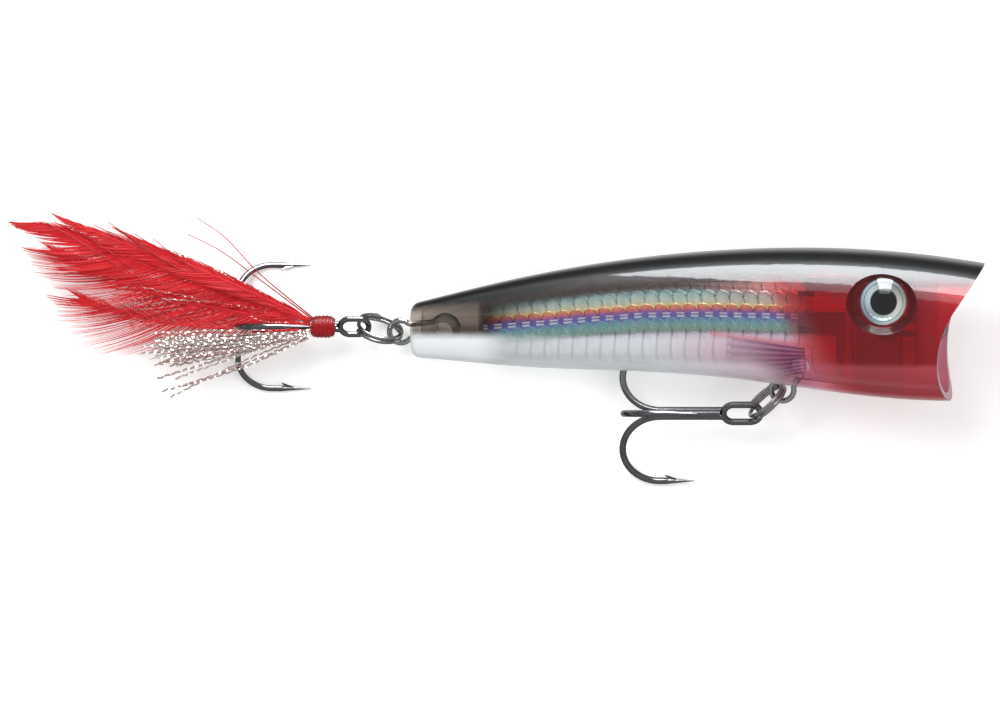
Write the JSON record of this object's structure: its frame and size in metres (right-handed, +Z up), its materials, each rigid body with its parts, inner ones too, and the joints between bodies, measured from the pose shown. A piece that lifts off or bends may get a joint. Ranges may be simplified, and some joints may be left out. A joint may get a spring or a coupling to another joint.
{
  "type": "topwater popper",
  "caption": "Topwater popper lure lying on its flank: hollow foil-lined body with a cupped mouth, domed eyes, split rings, treble hooks and a red feathered tail.",
  "frame": {"origin": "on the table top under the middle of the lure's box", "axes": "+X towards the nose, +Y towards the lure's back, +Z up from the table; the lure lies on its left flank with its right flank up"},
  "size_m": [0.12, 0.0324, 0.0191],
  "materials": {
    "tinted_shell": "clear moulded plastic, painted black on the back, pearl on the belly and translucent red at the head, high gloss",
    "holographic_foil": "embossed scale foil with rainbow sheen",
    "eye_foil": "silver faceted ring round a black pupil",
    "eye_lens": "clear domed resin, high gloss",
    "stainless_wire": "bright drawn wire",
    "weight_steel": "polished steel",
    "ring_steel": "black nickel plate, worn bright at the edges",
    "black_nickel_hook": "black nickel plate",
    "red_thread": "lacquered red thread",
    "red_hackle": "dyed red cock hackle",
    "silver_flash": "crinkled metallised film strands"
  },
  "bodies": {
    "root": {"right_body_shell": "tinted_shell", "left_body_shell": "tinted_shell", "right_foil": "holographic_foil", "left_foil": "holographic_foil", "right_eye_disc": "eye_foil", "left_eye_disc": "eye_foil", "right_eye_lens": "eye_lens", "left_eye_lens": "eye_lens", "line_tie": "stainless_wire", "belly_hanger": "stainless_wire", "tail_hanger": "stainless_wire", "tail_ballast": "weight_steel"},
    "casting_weight": {"casting_weight_ball": "weight_steel"},
    "rattle": {"rattle_ball": "weight_steel"},
    "belly_ring": {"belly_split_ring": "ring_steel"},
    "belly_treble": {"belly_treble_double": "black_nickel_hook", "belly_treble_single": "black_nickel_hook"},
    "tail_ring": {"tail_split_ring": "ring_steel"},
    "tail_treble": {"tail_treble_double": "black_nickel_hook", "tail_treble_single": "black_nickel_hook", "thread_wrap": "red_thread", "upper_hackle": "red_hackle", "middle_hackle": "red_hackle", "lower_hackle": "red_hackle", "under_hackle": "red_hackle", "upper_flash": "silver_flash", "lower_flash": "silver_flash"}
  },
  "joints": [
    {"name": "belly_ring_swing", "type": "hinge", "parent": "root", "child": "belly_ring", "pos_m": [0.03528, -0.00447, 0.0072], "axis": [0, 0, 1], "range_deg": [0, 110]},
    {"name": "belly_hook_swing", "type": "hinge", "parent": "belly_ring", "child": "belly_treble", "pos_m": [0.03137, -0.0074, 0.00531], "axis": [0, 0, 1], "range_deg": [0, 45]},
    {"name": "tail_ring_swing", "type": "hinge", "parent": "root", "child": "tail_ring", "pos_m": [-0.01173, 0.00267, 0.00296], "axis": [0, 0, 1], "range_deg": [-55, 50]},
    {"name": "tail_hook_swing", "type": "hinge", "parent": "tail_ring", "child": "tail_treble", "pos_m": [-0.01682, 0.00328, 0.00476], "axis": [0, 0, 1], "range_deg": [-35, 35]},
    {"name": "casting_weight_slide", "type": "slide", "parent": "root", "child": "casting_weight", "axis": [0.9925, 0, 0.1219], "range_m": [0, 0.009]},
    {"name": "rattle_slide", "type": "slide", "parent": "root", "child": "rattle", "axis": [0.9925, 0, 0.1219], "range_m": [0, 0.0026]}
  ]
}
